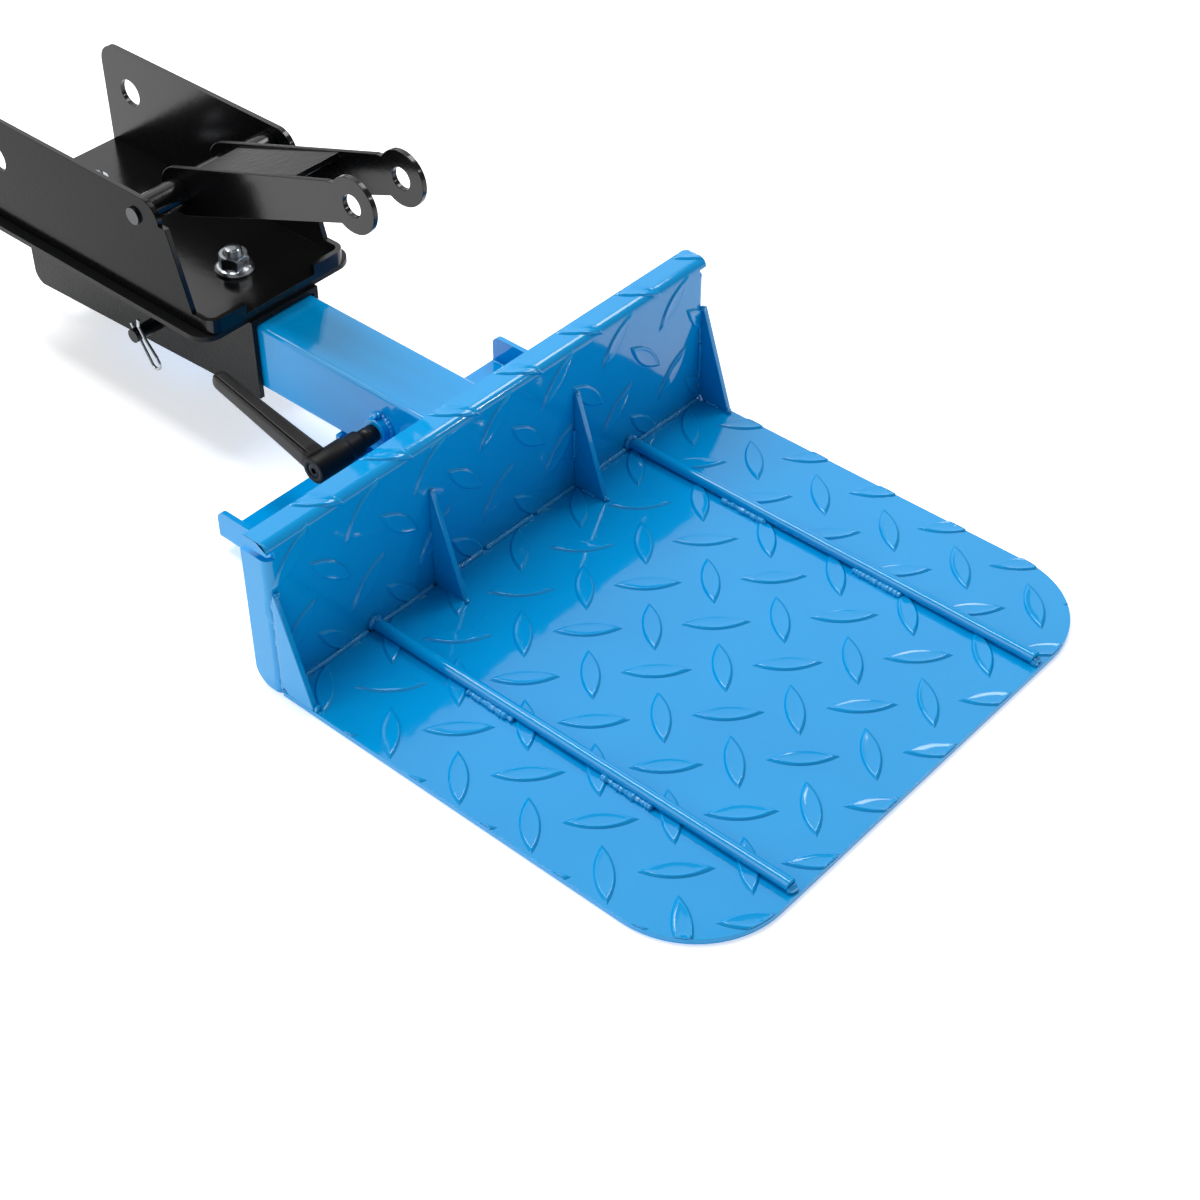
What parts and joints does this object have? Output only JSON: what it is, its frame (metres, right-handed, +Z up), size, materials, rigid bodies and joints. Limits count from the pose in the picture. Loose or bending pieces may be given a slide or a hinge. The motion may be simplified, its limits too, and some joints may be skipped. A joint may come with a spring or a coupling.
{
  "type": "wheel tray with telescoping arm",
  "caption": "L-shaped tread-plate wheel tray with stop rods and gussets, sliding on a square arm in a black receiver with a lift link, clamp lever and clipped hitch pin.",
  "frame": {"origin": "on the deck's underside, below the middle of the wall's front face", "axes": "+X from the wall to the deck's front edge, +Y along the wall away from the clamp lever, +Z up"},
  "size_m": [0.61, 0.312, 0.1876],
  "materials": {
    "blue_coat": "gloss powder coat",
    "black_coat": "semi-gloss powder coat",
    "lever_plastic": "fine matte grain",
    "dark_steel": "black oxide",
    "spring_steel": "bright drawn wire",
    "zinc": "zinc plated",
    "pin_steel": "plain turned steel"
  },
  "bodies": {
    "bracket": {"receiver_channel": "black_coat", "receiver_keepers": "black_coat", "base_plate": "black_coat", "pivot_bracket": "black_coat", "weld_studs": "zinc", "flange_nuts": "zinc", "lock_screw": "zinc", "pivot_pin": "pin_steel"},
    "arm": {"arm_tube": "blue_coat", "clamp_boss": "blue_coat"},
    "tray": {"deck_plate": "blue_coat", "wall_plate": "blue_coat", "end_gusset_left": "blue_coat", "end_gusset_right": "blue_coat", "mid_gusset_left": "blue_coat", "mid_gusset_right": "blue_coat", "wheel_stop_rod_left": "blue_coat", "wheel_stop_rod_right": "blue_coat", "tray_welds": "blue_coat", "rear_channel": "blue_coat", "saddle_plate": "blue_coat", "spigot_tube": "blue_coat"},
    "lever": {"lever_stud": "dark_steel", "lever_screw": "dark_steel", "lever_spring": "spring_steel"},
    "handle": {"lever_handle": "lever_plastic"},
    "link": {"lift_link": "black_coat", "link_bush": "black_coat"},
    "hitch": {"hitch_pin": "dark_steel"},
    "clip": {"spring_clip": "zinc"}
  },
  "joints": [
    {"name": "arm_slide", "type": "slide", "parent": "bracket", "child": "arm", "axis": [1, 0, 0], "range_m": [-0.035, 0.07]},
    {"name": "tray_slide", "type": "slide", "parent": "arm", "child": "tray", "axis": [1, 0, 0], "range_m": [0, 0.03]},
    {"name": "lever_turn", "type": "hinge", "parent": "arm", "child": "lever", "pos_m": [-0.067, -0.026, 0.0482], "axis": [0, 1, 0], "range_deg": [-20, 100]},
    {"name": "handle_lift", "type": "slide", "parent": "lever", "child": "handle", "axis": [0, -1, 0], "range_m": [0, 0.004], "stiffness_N_per_m": 2000, "springref_m": -0.001, "deforming": ["lever_spring"]},
    {"name": "link_swing", "type": "hinge", "parent": "bracket", "child": "link", "pos_m": [-0.211, 0, 0.127], "axis": [0, -1, 0], "range_deg": [-10, 60]},
    {"name": "hitch_pin_slide", "type": "slide", "parent": "bracket", "child": "hitch", "axis": [0, 1, 0], "range_m": [0, 0.011]},
    {"name": "clip_pull", "type": "slide", "parent": "hitch", "child": "clip", "axis": [0.5299, 0, -0.848], "range_m": [0, 0.02]}
  ]
}
